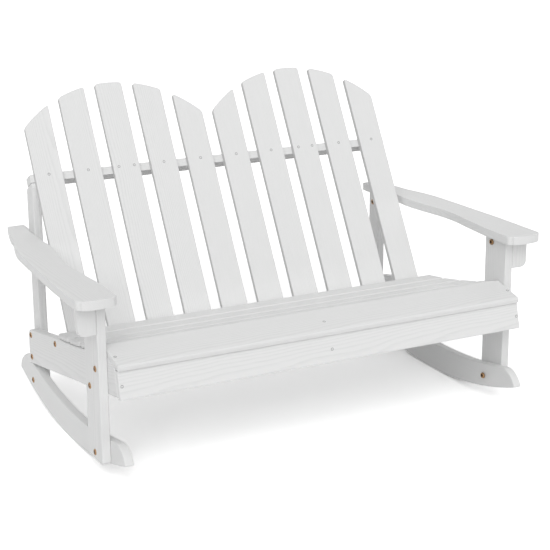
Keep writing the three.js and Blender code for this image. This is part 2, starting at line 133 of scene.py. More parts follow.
first_slat_low, first_slat_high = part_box("back_slat_1")
second_slat_low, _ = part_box("back_slat_2")
tall_slat_low, tall_slat_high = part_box("back_slat_3")


def side_direction(angle):
    """A direction in the side plane, turned up from the rearward axis."""
    return Vector((0, math.cos(angle), math.sin(angle)))


def side_nodes(*names):
    """The nodes of these names on both sides of the bench."""
    return [f"{side}_{name}" for side in SIDES for name in names]


def numbered(name, count):
    return [f"{name}_{i + 1}" for i in range(count)]


def middle(node):
    low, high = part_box(node)
    return (low + high) / 2


def back_foot(context):
    """The front edge of the slats' lower ends, in the middle of the bench."""
    lean = context.scene.bench_back.lean
    thickness = context.scene.bench_boards.slat_thickness
    return Vector((0, tall_slat_low.y, tall_slat_low.z + thickness * math.sin(lean)))


# Settings


class BenchBoards(bpy.types.PropertyGroup):
    frame_edge: FloatProperty(
        name="Frame Edge Radius",
        description="How far the edges of the thick boards are eased",
        default=2.4 * MM, min=0.2 * MM, unit="LENGTH",
    )
    slat_edge: FloatProperty(
        name="Slat Edge Radius",
        description="How far the edges of the slats are eased",
        default=1.7 * MM, min=0.2 * MM, unit="LENGTH",
    )
    seat_edge: FloatProperty(
        name="Seat Edge Radius",
        description="How far the edges of the seat slats are eased",
        default=5 * MM, min=0.2 * MM, unit="LENGTH",
    )
    edge_steps: IntProperty(
        name="Edge Steps",
        description="Facets across each eased edge",
        default=4, min=1,
    )
    slat_thickness: FloatProperty(
        name="Slat Thickness",
        description="Thickness of the seat and back slats",
        default=12 * MM, unit="LENGTH",
    )
    seat_slat_width: FloatProperty(
        name="Seat Slat Width",
        description="Width of each seat slat",
        default=58.5 * MM, unit="LENGTH",
    )
    seed: IntProperty(
        name="Wood Seed",
        description="Picks where each board was cut from its tree",
        default=7,
    )


class BenchBack(bpy.types.PropertyGroup):
    slats: IntProperty(
        name="Slats",
        description="Number of slats in the whole back",
        default=10,
    )
    fan_slats: IntProperty(
        name="Slats per Fan",
        description="Number of slats under each of the two arcs",
        default=5,
    )
    slat_width: FloatProperty(
        name="Slat Width",
        description="Width of each back slat",
        default=first_slat_high.x - first_slat_low.x, unit="LENGTH",
    )
    pitch: FloatProperty(
        name="Slat Pitch",
        description="Distance from one slat's middle to the next",
        default=second_slat_low.x - first_slat_low.x, unit="LENGTH",
    )
    fan_radius: FloatProperty(
        name="Fan Radius",
        description="Radius of the arc that the slats' tops follow",
        default=285 * MM, unit="LENGTH",
    )
    corner_radius: FloatProperty(
        name="Corner Radius",
        description="Rounding of each slat's top corners",
        default=5.5 * MM, unit="LENGTH",
    )
    lean: FloatProperty(
        name="Lean",
        description="How far the back leans from upright",
        default=BACK_LEAN, subtype="ANGLE",
    )


class BenchPaint(bpy.types.PropertyGroup):
    colour: FloatVectorProperty(
        name="Paint Colour",
        description="Colour of the paint on every board",
        default=(0.805, 0.807, 0.805), subtype="COLOR", min=0, max=1,
    )
    pore_colour: FloatVectorProperty(
        name="Pore Colour",
        description="Colour of the paint where it lies thin over the dark rings",
        default=(0.74, 0.745, 0.742), subtype="COLOR", min=0, max=1,
    )
    # Painted shade on the slats' side faces and the rail's top and lower faces
    edge_shade_colour: FloatVectorProperty(
        name="Edge Shade Colour",
        description="Colour of the painted shade on a slat's sides and a rail's top and lower faces",
        default=(0.5, 0.5, 0.5), subtype="COLOR", min=0, max=1,
    )
    roughness: FloatProperty(
        name="Roughness",
        description="Roughness of the dry paint",
        default=0.5, min=0, max=1, subtype="FACTOR",
    )
    ring_spacing: FloatProperty(
        name="Ring Spacing",
        description="Distance between growth rings",
        default=2.6 * MM, unit="LENGTH",
    )
    ring_height: FloatProperty(
        name="Ring Height",
        description="How far the hard rings stand up through the paint",
        default=0.09 * MM, unit="LENGTH",
    )


class BenchFixings(bpy.types.PropertyGroup):
    plating_colour: FloatVectorProperty(
        name="Plating Colour",
        description="Colour of the plated bolts and nuts",
        default=(0.42, 0.26, 0.13), subtype="COLOR", min=0, max=1,
    )
    dull_colour: FloatVectorProperty(
        name="Dull Colour",
        description="Colour of the plating where it has worn dull",
        default=(0.21, 0.115, 0.06), subtype="COLOR", min=0, max=1,
    )
    head_radius: FloatProperty(
        name="Bolt Head Radius",
        description="Outer radius of a bolt head",
        default=6.2 * MM, unit="LENGTH",
    )
    head_height: FloatProperty(
        name="Bolt Head Height",
        description="How far a bolt head stands out of its board",
        default=3.6 * MM, unit="LENGTH",
    )
    socket_radius: FloatProperty(
        name="Socket Radius",
        description="Radius across the corners of the hexagon socket",
        default=3.6 * MM, unit="LENGTH",
    )
    socket_depth: FloatProperty(
        name="Socket Depth",
        description="Depth of the hexagon socket",
        default=2.2 * MM, unit="LENGTH",
    )
    screw_radius: FloatProperty(
        name="Screw Head Radius",
        description="Outer radius of a countersunk screw head",
        default=3.2 * MM, unit="LENGTH",
    )
    screw_recess: FloatProperty(
        name="Screw Recess",
        description="Length of each arm of the cross recess",
        default=2.3 * MM, unit="LENGTH",
    )
    screw_stand: FloatProperty(
        name="Screw Stand",
        description="How far a screw head stands proud of the paint",
        default=0.15 * MM, unit="LENGTH",
    )
    seed: IntProperty(
        name="Turn Seed",
        description="Picks how far each head was turned when it was driven in",
        default=3,
    )


class BenchStage(bpy.types.PropertyGroup):
    floor_size: FloatProperty(
        name="Floor Size",
        description="Width of the square floor",
        default=40, unit="LENGTH",
    )
    sky: FloatProperty(
        name="Sky Strength",
        description="Strength of the soft light from all round",
        default=0.2, min=0,
    )
    overhead: FloatProperty(
        name="Overhead Strength",
        description="What the soft light gains straight above the bench",
        default=0.52, min=0,
    )
    lamp: FloatProperty(
        name="Lamp Strength",
        description="Strength of the wide lamp in front of the bench",
        default=1.46, min=0,
    )
    lamp_spread: FloatProperty(
        name="Lamp Spread",
        description="Angle that the lamp fills, as seen from the bench",
        default=math.radians(50), subtype="ANGLE",
    )


# Node trees


class Wiring:
    """Adds nodes to a tree and joins them, so that a tree can be written as its formula."""

    def __init__(self, tree):
        self.tree = tree

    def node(self, kind, inputs=None, **settings):
        node = self.tree.nodes.new(kind)
        for setting, value in settings.items():
            setattr(node, setting, value)
        for label, value in (inputs or {}).items():
            self.feed(node.inputs[label], value)
        return node

    def made(self, kind, inputs=None, **settings):
        """The first output of a new node."""
        return self.node(kind, inputs, **settings).outputs[0]

    def feed(self, socket, value):
        """Joins a socket to another one, or sets its value."""
        if isinstance(value, bpy.types.NodeSocket):
            self.tree.links.new(value, socket)
        else:
            socket.default_value = value

    def group(self, name, build, inputs):
        """Places a shared shader group. Returns its outputs."""
        return self.node("ShaderNodeGroup", inputs, node_tree=shared_group(name, build)).outputs

    def math(self, operation, *values):
        node = self.node("ShaderNodeMath", operation=operation)
        for socket, value in zip(node.inputs, values):
            self.feed(socket, value)
        return node.outputs[0]

    def split(self, vector):
        return self.node("ShaderNodeSeparateXYZ", {"Vector": vector}).outputs

    def join(self, x=0, y=0, z=0):
        return self.made("ShaderNodeCombineXYZ", {"X": x, "Y": y, "Z": z})

    def noise(self, place, scale, detail, **more):
        inputs = {"Vector": place, "Scale": scale, "Detail": detail, **more}
        return self.made("ShaderNodeTexNoise", inputs)

    def ramp(self, value, low, high):
        """0 up to low and 1 from high on, with a soft step between."""
        inputs = {"Value": value, "From Min": low, "From Max": high}
        return self.made("ShaderNodeMapRange", inputs, interpolation_type="SMOOTHSTEP")


def sockets(kind, *labels):
    """Sockets of one kind, without defaults, for a new group."""
    return [(label, f"NodeSocket{kind}") for label in labels]


def new_group(kind, name, inputs, outputs):
    """A group with these sockets, whose inputs may have a default. Returns its wiring, what it
    is given and what it puts out."""
    tree = bpy.data.node_groups.new(name, kind)
    for label, socket_type, *default in inputs:
        socket = tree.interface.new_socket(name=label, in_out="INPUT", socket_type=socket_type)
        if default:
            socket.default_value = default[0]
    for label, socket_type in outputs:
        tree.interface.new_socket(name=label, in_out="OUTPUT", socket_type=socket_type)
    wiring = Wiring(tree)
    return wiring, wiring.node("NodeGroupInput").outputs, wiring.node("NodeGroupOutput").inputs


def shared_group(name, build):
    """The node group of this name, which is built when it is first asked for."""
    return bpy.data.node_groups.get(name) or build(name)


def set_inputs(modifier, values):
    """Sets a modifier's named inputs by their sockets' identifiers."""
    for item in modifier.node_group.interface.items_tree:
        if item.item_type == "SOCKET" and item.in_out == "INPUT" and item.name in values:
            modifier[item.identifier] = values[item.name]


# Materials


def stretched(w, place, along, across):
    """A place in a board, scaled along the grain and across it."""
    scales = (along, across, across)
    return w.join(*[w.math("MULTIPLY", part, scale) for part, scale in zip(place, scales)])


def wood_grain_group(name):
    """Growth rings cut by a board's faces, with fine fibres along them."""
    w, given, out = new_group(
        "ShaderNodeTree",
        name,
        [
            *sockets("Vector", "Place"),
            *sockets("Float", "Ring Spacing", "Ring Height"),
            ("Waviness", "NodeSocketFloat", WAVINESS),
            ("Taper", "NodeSocketFloat", TAPER),
        ],
        sockets("Float", "Ring", "Fibre", "Height"),
    )
    place = w.split(given["Place"])[:3]
    run, across, depth = place
    wave = w.noise(stretched(w, place, WAVE_ALONG, WAVE_ACROSS), 1, 3, Roughness=0.45)
    shift = w.math("MULTIPLY", w.math("SUBTRACT", wave, 0.5), given["Waviness"])
    heart_across = w.math("ADD", across, shift)
    sinking = w.math("MULTIPLY", run, given["Taper"])
    heart_depth = w.math("ADD", sinking, w.math("ADD", depth, shift))
    distance = w.math(
        "SQRT",
        w.math("ADD", w.math("POWER", heart_across, 2), w.math("POWER", heart_depth, 2)),
    )
    year = w.math("FRACT", w.math("DIVIDE", distance, given["Ring Spacing"]))
    ring = w.math("SUBTRACT", w.ramp(year, LATE_WOOD, FULL_RING), w.ramp(year, FULL_RING, 1))
    fibre = w.noise(stretched(w, place, FIBRE_ALONG, FIBRE_ACROSS), 1, 2, Roughness=0.6)
    relief = w.math("ADD", ring, w.math("MULTIPLY", fibre, FIBRE_RELIEF))
    w.feed(out["Ring"], ring)
    w.feed(out["Fibre"], fibre)
    w.feed(out["Height"], w.math("MULTIPLY", relief, given["Ring Height"]))
    return w.tree


def metal_marks_group(name):
    """Fine scuffs and uneven plating on small metal heads."""
    w, given, out = new_group(
        "ShaderNodeTree",
        name,
        [
            *sockets("Vector", "Place"),
            ("Scale", "NodeSocketFloat", 900),
            ("Depth", "NodeSocketFloat", 0.03 * MM),
        ],
        sockets("Float", "Mask", "Height"),
    )
    blotch = w.noise(given["Place"], given["Scale"], 3)
    fine = w.noise(given["Place"], w.math("MULTIPLY", given["Scale"], FINER), 2)
    wear = w.math("ADD", blotch, w.math("MULTIPLY", fine, FINE_SHARE))
    w.feed(out["Mask"], w.ramp(wear, UNWORN, WORN))
    w.feed(out["Height"], w.math("MULTIPLY", fine, given["Depth"]))
    return w.tree


def painted_edge_shade_group(name):
    """Painted shade on the faces of a board that look along Across, the direction from edge to
    edge.
    """
    w, given, out = new_group(
        "ShaderNodeTree",
        name,
        sockets("Vector", "Across") + sockets("Float", "Soak"),
        sockets("Float", "Mask"),
    )
    facing = w.node("ShaderNodeTexCoord").outputs["Normal"]
    pair = {0: facing, 1: given["Across"]}
    toward = w.node("ShaderNodeVectorMath", pair, operation="DOT_PRODUCT").outputs["Value"]
    edge = w.ramp(w.math("ABSOLUTE", toward), SIDEWAYS, SQUARE_ON)
    w.feed(out["Mask"], w.math("MULTIPLY", edge, given["Soak"]))
    return w.tree


def seen_directly(w):
    """1 for what the camera sees, also in a reflection, and 0 for light that falls on things."""
    rays = w.node("ShaderNodeLightPath").outputs
    seen = w.math("MAXIMUM", rays["Is Camera Ray"], rays["Is Glossy Ray"])
    return w.math("MAXIMUM", seen, rays["Is Transmission Ray"])


def new_material(name):
    """A material with its Principled shader, and the wiring to feed it."""
    material = bpy.data.materials.new(name)
    material.use_nodes = True
    wiring = Wiring(material.node_tree)
    return material, wiring, material.node_tree.nodes["Principled BSDF"]


def blend_colours(w, factor, first, second):
    node = w.node("ShaderNodeMix", data_type="RGBA")
    w.feed(node.inputs[0], factor)
    for socket, colour in ((node.inputs[6], first), (node.inputs[7], second)):
        w.feed(socket, colour if isinstance(colour, bpy.types.NodeSocket) else (*colour, 1))
    return node.outputs[2]


def relief_normal(w, height):
    return w.made("ShaderNodeBump", {"Strength": 1, "Distance": 1, "Height": height})


def painted_wood(name, spacing_share, across=None, shade_strength=0):
    """White paint on softwood whose rings show through, and painted shade on faces along across.
    """
    if name in bpy.data.materials:
        return bpy.data.materials[name]
    paint = bpy.context.scene.bench_paint
    material, w, shader = new_material(name)
    place = w.node("ShaderNodeAttribute", attribute_name=GRAIN).outputs["Vector"]
    grain = w.group(
        "Wood Grain",
        wood_grain_group,
        {
            "Place": place,
            "Ring Spacing": paint.ring_spacing * spacing_share,
            "Ring Height": paint.ring_height,
        },
    )
    thin = w.math("MULTIPLY", grain["Ring"], w.ramp(grain["Fibre"], THICK_FIBRE, THIN_FIBRE))
    colour = blend_colours(w, thin, paint.colour, paint.pore_colour)
    # Painted shade: the faces that look along across are darkened towards the shade colour
    if across:
        edge = w.group("Painted Edge Shade", painted_edge_shade_group, {"Across": across, "Soak": shade_strength})
        colour = blend_colours(w, edge["Mask"], colour, paint.edge_shade_colour)
    w.feed(shader.inputs["Base Color"], colour)
    dullness = w.math("MULTIPLY", grain["Fibre"], PAINT_UNEVENNESS)
    smoothest = paint.roughness - PAINT_UNEVENNESS / 2
    w.feed(shader.inputs["Roughness"], w.math("ADD", dullness, smoothest))
    w.feed(shader.inputs["Normal"], relief_normal(w, grain["Height"]))
    w.feed(shader.inputs["Specular IOR Level"], PAINT_SHEEN)
    return material


def metal_finish(name, colour, dull_colour, roughness, metallic):
    """Metal whose plating is worn and marked in places."""
    if name in bpy.data.materials:
        return bpy.data.materials[name]
    material, w, shader = new_material(name)
    place = w.node("ShaderNodeTexCoord").outputs["Object"]
    marks = w.group("Metal Marks", metal_marks_group, {"Place": place})
    w.feed(shader.inputs["Base Color"], blend_colours(w, marks["Mask"], colour, dull_colour))
    wear = w.math("MULTIPLY", marks["Mask"], WORN_ROUGHNESS)
    w.feed(shader.inputs["Roughness"], w.math("ADD", wear, roughness))
    w.feed(shader.inputs["Normal"], relief_normal(w, marks["Height"]))
    w.feed(shader.inputs["Metallic"], metallic)
    return material


def frame_paint():
    return painted_wood("Frame Paint", 1)


def slat_paint():
    return painted_wood("Slat Paint", SLAT_RINGS)


# Painted shade on the slats' side faces, in the gaps between them
def back_slat_paint_and_shade():
    return painted_wood("Back Slat Paint And Side Shade", SLAT_RINGS, X, SLAT_SIDE_SHADE)


# Painted shade on the rail's top and lower faces
def rail_paint_and_shade(up):
    return painted_wood("Rail Paint And Face Shade", 1, up, RAIL_FACE_SHADE)


def bolt_plating():
    colour = tuple(bpy.context.scene.bench_fixings.plating_colour)
    dull = tuple(bpy.context.scene.bench_fixings.dull_colour)
    return metal_finish("Bolt Plating", colour, dull, roughness=0.34, metallic=0.9)


# Painted shade: the hexagon socket is darkened towards black as if in shade
def socket_shadow():
    brown, dull = (0.05, 0.03, 0.02), (0.02, 0.012, 0.01)
    return metal_finish("Socket Metal And Shade", brown, dull, roughness=0.6, metallic=0.5)


def screw_metal():
    grey, dull = (0.44, 0.44, 0.44), (0.33, 0.33, 0.33)
    return metal_finish("Screw Metal", grey, dull, roughness=0.5, metallic=0.3)


# Painted shade: the cross recess is a darker grey than the head
def recess_metal_and_shade():
    grey, dull = (0.22, 0.22, 0.22), (0.15, 0.15, 0.15)
    return metal_finish("Recess Metal And Shade", grey, dull, roughness=0.7, metallic=0.2)


# Meshes


def put_in_scene(name, mesh):
    thing = bpy.data.objects.new(name, mesh)
    bpy.context.scene.collection.objects.link(thing)
    return thing


def take_result(thing):
    """The plain mesh that an object's modifiers make. The object and its own mesh go."""
    depsgraph = bpy.context.evaluated_depsgraph_get()
    mesh = bpy.data.meshes.new_from_object(thing.evaluated_get(depsgraph))
    old = thing.data
    bpy.data.objects.remove(thing)
    bpy.data.meshes.remove(old)
    return mesh


def close_bores(bm):
    """Plugs the bolt holes, which the heads cover."""
    axes = [middle(node) for node in side_nodes(*BOLTS, *INWARD_HEADS)]

    def in_bore(vertex, axis):
        return math.hypot(vertex.co.y - axis.y, vertex.co.z - axis.z) < BORE_RADIUS

    walls = [f for f in bm.faces if any(all(in_bore(v, a) for v in f.verts) for a in axes)]
    if not walls:
        return
    bmesh.ops.delete(bm, geom=walls, context="FACES_KEEP_BOUNDARY")
    rims = [edge for edge in bm.edges if edge.is_boundary]
    bmesh.ops.holes_fill(bm, edges=rims, sides=0)


def ease_edges(mesh, radius):
    """Rounds the sharp edges of flat-sided boards and smooths their curved ones."""
    steps = bpy.context.scene.bench_boards.edge_steps
    bm = bmesh.new()
    bm.from_mesh(mesh)
    bmesh.ops.remove_doubles(bm, verts=bm.verts, dist=WELD)
    close_bores(bm)
    bmesh.ops.dissolve_limit(bm, angle_limit=FLAT_ANGLE, verts=bm.verts, edges=bm.edges)
    sharp = [edge for edge in bm.edges if edge.calc_face_angle(0) > SHARP_ANGLE]
    bmesh.ops.bevel(
        bm,
        geom=sharp,
        offset=radius,
        offset_type="OFFSET",
        segments=steps,
        profile=0.5,
        affect="EDGES",
        clamp_overlap=True,
    )
    for face in bm.faces:
        face.smooth = True
    bmesh.ops.recalc_face_normals(bm, faces=bm.faces)
    bm.to_mesh(mesh)
    bm.free()
    thing = put_in_scene("eased", mesh)
    weighting = thing.modifiers.new("Flat Faces", "WEIGHTED_NORMAL")
    weighting.weight = WHOLLY_BY_AREA
    return take_result(thing)


def lay_grain(mesh, run, width, name):
    """Stores each point's place in its board: along the grain, across it and into it.

    The place is measured from the heart of the tree, which each board has elsewhere.
    """
    depth = run.cross(width)
    points = mesh.vertices
    kept = mesh.attributes.get(BOARD)
    boards = [item.value for item in kept.data] if kept else [0] * len(points)
    members = {}
    for index, board in enumerate(boards):
        members.setdefault(board, []).append(index)
    layer = mesh.attributes.new(GRAIN, "FLOAT_VECTOR", "POINT")
    for board, indices in sorted(members.items()):
        pick = random.Random(f"{bpy.context.scene.bench_boards.seed} {name} {board}")
        centre = sum((points[i].co for i in indices), Vector()) / len(indices)
        along = pick.uniform(-HEART_ALONG, HEART_ALONG)
        aside = pick.choice((-1, 1)) * pick.uniform(*HEART_ACROSS)
        heart = Vector((along, aside, pick.uniform(*HEART_DEPTH)))
        facing = pick.choice((-1, 1))
        for i in indices:
            offset = points[i].co - centre
            place = Vector((facing * offset.dot(run), offset.dot(width), offset.dot(depth)))
            layer.data[i].vector = place + heart
    if kept:
        mesh.attributes.remove(mesh.attributes[BOARD])


def finish_piece(name, mesh, nodes):
    """Puts a piece in the scene for the CAD nodes that it stands for."""
    mesh.name = name
    piece = put_in_scene(name, mesh)
    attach(piece, BODY)
    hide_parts(*nodes)


def dress_board(node, run, width, radius, material):
    """A painted board on the lines of its CAD node."""
    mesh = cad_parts[node].data.copy()
    mesh.materials.clear()
    mesh.materials.append(material)
    for attribute in [a.name for a in mesh.attributes if not a.is_required]:
        mesh.attributes.remove(mesh.attributes[attribute])
    mesh = ease_edges(mesh, radius)
    lay_grain(mesh, run, width, node)
    finish_piece(f"{node}_board", mesh, [node])


def made_by(tree, values, name, mesh=None):
    """The mesh that a node tree makes from these inputs, and from a mesh if it takes one."""
    thing = put_in_scene(name, mesh or bpy.data.meshes.new(name))
    modifier = thing.modifiers.new(name, "NODES")
    modifier.node_group = tree
    set_inputs(modifier, values)
    return take_result(thing)


# Slats


def finish_tree(w, geometry, material, out):
    """Ends a tree of slats with plain mesh and its material."""
    plain = w.made("GeometryNodeRealizeInstances", {"Geometry": geometry})
    painted = w.made("GeometryNodeSetMaterial", {"Geometry": plain, "Material": material})
    w.feed(out["Geometry"], painted)


def number_boards(w, instances):
    """Gives each instance its number as an attribute."""
    return w.made(
        "GeometryNodeStoreNamedAttribute",
        {"Geometry": instances, "Name": BOARD, "Value": w.made("GeometryNodeInputIndex")},
        data_type="INT",
        domain="INSTANCE",
    )


def fan_slats_tree():
    """A row of leaning slats, whose tops follow the arcs of two fans."""
    w, given, out = new_group(
        "GeometryNodeTree",
        "Fan Slats",
        [
            *sockets("Int", "Slats", "Slats per Fan", "Columns"),
            *sockets("Float", "Width", "Thickness", "Pitch"),
            *sockets("Float", "Fan Radius", "Fan Height", "Corner Radius", "Lean"),
            *sockets("Vector", "Foot"),
            *sockets("Material", "Material"),
        ],
        sockets("Geometry", "Geometry"),
    )
    half_row = w.math("MULTIPLY", w.math("SUBTRACT", given["Slats"], 1), 0.5)
    row_start = w.math("MULTIPLY", w.math("MULTIPLY", half_row, given["Pitch"]), -1)
    row = w.made(
        "GeometryNodeMeshLine",
        {
            "Count": given["Slats"],
            "Start Location": w.join(row_start),
            "Offset": w.join(given["Pitch"]),
        },
    )
    blank = w.made(
        "GeometryNodeMeshCube",
        {
            "Size": w.join(given["Width"], given["Thickness"], 1),
            "Vertices X": given["Columns"],
        },
    )
    raised = w.made(
        "GeometryNodeTransform",
        {
            "Geometry": blank,
            "Translation": w.join(0, w.math("MULTIPLY", given["Thickness"], 0.5), 0.5),
        },
    )
    instances = w.made("GeometryNodeInstanceOnPoints", {"Points": row, "Instance": raised})
    slats = w.made("GeometryNodeRealizeInstances", {"Geometry": number_boards(w, instances)})

    # Each column's own place: closer together near the slat's edges, where its corners are round
    number = w.made("GeometryNodeInputNamedAttribute", {"Name": BOARD}, data_type="INT")
    centre = w.math("MULTIPLY", w.math("SUBTRACT", number, half_row), given["Pitch"])
    x, y, z = w.split(w.made("GeometryNodeInputPosition"))[:3]
    radian_width = w.math("DIVIDE", given["Width"], math.pi)
    turn = w.math("DIVIDE", w.math("SUBTRACT", x, centre), radian_width)
    half_width = w.math("MULTIPLY", given["Width"], 0.5)
    offset = w.math("MULTIPLY", w.math("SINE", turn), half_width)
    column = w.math("ADD", centre, offset)

    # The arc of the fan, less the round of the corner
    fan_half = w.math("MULTIPLY", w.math("MULTIPLY", given["Slats per Fan"], 0.5), given["Pitch"])
    fan_middle = w.math("MULTIPLY", w.math("SIGN", centre), fan_half)
    from_middle = w.math("SUBTRACT", column, fan_middle)

    def rise_in_circle(radius, reach):
        square = w.math("SUBTRACT", w.math("POWER", radius, 2), w.math("POWER", reach, 2))
        return w.math("SQRT", w.math("MAXIMUM", square, 0))

    arc = w.math("ADD", given["Fan Height"], rise_in_circle(given["Fan Radius"], from_middle))
    straight = w.math("SUBTRACT", half_width, given["Corner Radius"])
    into_corner = w.math("MAXIMUM", w.math("SUBTRACT", w.math("ABSOLUTE", offset), straight), 0)
    corner_rise = rise_in_circle(given["Corner Radius"], into_corner)
    drop = w.math("SUBTRACT", given["Corner Radius"], corner_rise)
    top = w.math("SUBTRACT", arc, drop)
    shaped = w.made(
        "GeometryNodeSetPosition",
        {"Geometry": slats, "Position": w.join(column, y, w.math("MULTIPLY", z, top))},
    )
    backwards = w.join(w.math("MULTIPLY", given["Lean"], -1))
    leaning = w.made(
        "GeometryNodeTransform",
        {
            "Geometry": shaped,
            "Translation": given["Foot"],
            "Rotation": w.made("FunctionNodeEulerToRotation", {"Euler": backwards}),
        },
    )
    finish_tree(w, leaning, given["Material"], out)
    return w.tree


def seat_slats_tree():
    """Slats laid side by side on a shallow arc."""
    w, given, out = new_group(
        "GeometryNodeTree",
        "Seat Slats",
        [
            *sockets("Int", "Slats"),
            *sockets("Float", "Length", "Width", "Thickness"),
            *sockets("Vector", "First", "Second", "Last"),
            *sockets("Material", "Material"),
        ],
        sockets("Geometry", "Geometry"),
    )
    arc = w.made(
        "GeometryNodeCurveArc",
        {
            "Resolution": 64,
            "Start": given["First"],
            "Middle": given["Second"],
            "End": given["Last"],
        },
        mode="POINTS",
    )
    counted = {"Curve": arc, "Count": given["Slats"]}
    points = w.node("GeometryNodeCurveToPoints", counted, mode="COUNT").outputs
    turn = w.made(
        "FunctionNodeAlignRotationToVector",
        {"Vector": points["Tangent"]},
        axis="Y",
        pivot_axis="X",
    )
    size = w.join(given["Length"], given["Width"], given["Thickness"])
    blank = w.made("GeometryNodeMeshCube", {"Size": size})
    instances = w.made(
        "GeometryNodeInstanceOnPoints",
        {"Points": points["Points"], "Instance": blank, "Rotation": turn},
    )
    finish_tree(w, number_boards(w, instances), given["Material"], out)
    return w.tree


# Bolts and screws


def heads_tree(name):
    """A head on every point, facing its aim and turned about it by chance."""
    w, given, out = new_group(
        "GeometryNodeTree",
        name,
        [
            *sockets("Geometry", "Places"),
            *sockets("Object", "Head"),
            *sockets("Int", "Seed"),
            *sockets("Material", "Material", "Recess Material"),
        ],
        sockets("Geometry", "Geometry"),
    )
    head = w.node("GeometryNodeObjectInfo", {"Object": given["Head"]}).outputs["Geometry"]
    aim = w.made("GeometryNodeInputNamedAttribute", {"Name": AIM}, data_type="FLOAT_VECTOR")
    facing = w.made("FunctionNodeAlignRotationToVector", {"Vector": aim}, axis="Z")
    # The fourth input of this node is a number's upper limit, and its second output the number
    drawn = {3: math.tau, "Seed": given["Seed"]}
    chance = w.node("FunctionNodeRandomValue", drawn, data_type="FLOAT").outputs[1]
    twist = w.made("FunctionNodeAxisAngleToRotation", {"Axis": Z, "Angle": chance})
    turned = w.made(
        "FunctionNodeRotateRotation",
        {"Rotation": facing, "Rotate By": twist},
        rotation_space="LOCAL",
    )
    instances = w.made(
        "GeometryNodeInstanceOnPoints",
        {"Points": given["Places"], "Instance": head, "Rotation": turned},
    )
    plain = w.made("GeometryNodeRealizeInstances", {"Geometry": instances})
    plated = w.made("GeometryNodeSetMaterial", {"Geometry": plain, "Material": given["Material"]})
    # The recess faces take the darker material, which paints shade into them
    in_recess = w.made("GeometryNodeInputNamedAttribute", {"Name": RECESS}, data_type="BOOLEAN")
    marked = w.made(
        "GeometryNodeSetMaterial",
        {"Geometry": plated, "Selection": in_recess, "Material": given["Recess Material"]},
    )
    w.feed(out["Geometry"], marked)
    return w.tree


def circle(radius, height, count):
    turns = [math.tau * i / count for i in range(count)]
    return [Vector((radius * math.cos(turn), radius * math.sin(turn), height)) for turn in turns]


def stack_rings(rings, recess_from):
    """A closed body from rings of equal counts, seat first. Its faces from recess_from on are
    those of the recess."""
    bm = bmesh.new()
    marked = bm.faces.layers.bool.new(RECESS)
    rows = [[bm.verts.new(co) for co in ring] for ring in rings]
    count = len(rows[0])
    bm.faces.new(list(reversed(rows[0])))
    for number, (low, high) in enumerate(zip(rows, rows[1:])):
        for i in range(count):
            j = (i + 1) % count
            face = bm.faces.new((low[i], low[j], high[j], high[i]))
            face[marked] = number >= recess_from
            face.smooth = True
    floor = bm.faces.new(rows[-1])
    floor[marked] = True
    mesh = bpy.data.meshes.new("head")
    bm.to_mesh(mesh)
    bm.free()
    mesh.set_sharp_from_angle(angle=SHARP_ANGLE)
    return mesh


def polygon_ring(radius, height, sides, count):
    """A regular polygon's outline, cut into as many points as the rings round it."""
    corners = circle(radius, height, sides)
    per_side = count // sides
    ring = []
    for a, b in zip(corners, corners[1:] + corners[:1]):
        ring += [a.lerp(b, step / per_side) for step in range(per_side)]
    return ring


def cross_ring(reach, half_width, height, count):
    """The outline of a cross recess, point by point at the angles of the rings round it."""
    ring = []
    for spoke in circle(1, 0, count):
        short, long = sorted((abs(spoke.x), abs(spoke.y)))
        distance = min(reach / long, half_width / max(short, NEARLY_NOTHING))
        ring.append(Vector((spoke.x * distance, spoke.y * distance, height)))
    return ring


def bolt_head():
    """A round head with a domed rim and a hexagon socket."""
    sizes = bpy.context.scene.bench_fixings
    count = 36
    sides = 6
    dome = []
    dome_steps = 5
    flat_share, rim_share = 0.74, 0.4
    flat_radius = sizes.head_radius * flat_share
    rim_height = sizes.head_height * rim_share
    for step in range(dome_steps + 1):
        angle = math.pi / 2 * step / dome_steps
        radius = flat_radius + (sizes.head_radius - flat_radius) * math.cos(angle)
        height = rim_height + (sizes.head_height - rim_height) * math.sin(angle)
        dome.append(circle(radius, height, count))
    lip = 0.25 * MM
    floor = sizes.head_height - sizes.socket_depth
    rings = [
        circle(sizes.head_radius - lip, 0, count),
        circle(sizes.head_radius, lip, count),
        *dome,
        polygon_ring(sizes.socket_radius + lip, sizes.head_height, sides, count),
        polygon_ring(sizes.socket_radius, sizes.head_height - lip, sides, count),
        polygon_ring(sizes.socket_radius, floor, sides, count),
    ]
    return stack_rings(rings, len(rings) - 2)


def screw_head():
    """A countersunk head with a cross recess, whose cone is sunk in the board."""
    sizes = bpy.context.scene.bench_fixings
    count = 24
    top = sizes.screw_stand
    cone = 2 * MM
    depth = 0.9 * MM
    rounding = 0.15 * MM
    half_width = 0.8 * MM
    shank_share, dish_share = 0.5, 0.3
    floor_length, floor_width = 0.6, 0.7
    dished = top - dish_share * rounding
    rings = [
        circle(sizes.screw_radius * shank_share, -cone, count),
        circle(sizes.screw_radius, -rounding, count),
        circle(sizes.screw_radius - rounding, top, count),
        cross_ring(sizes.screw_recess, half_width, dished, count),
        cross_ring(
            sizes.screw_recess * floor_length, half_width * floor_width, top - depth, count
        ),
    ]
    return stack_rings(rings, len(rings) - 2)


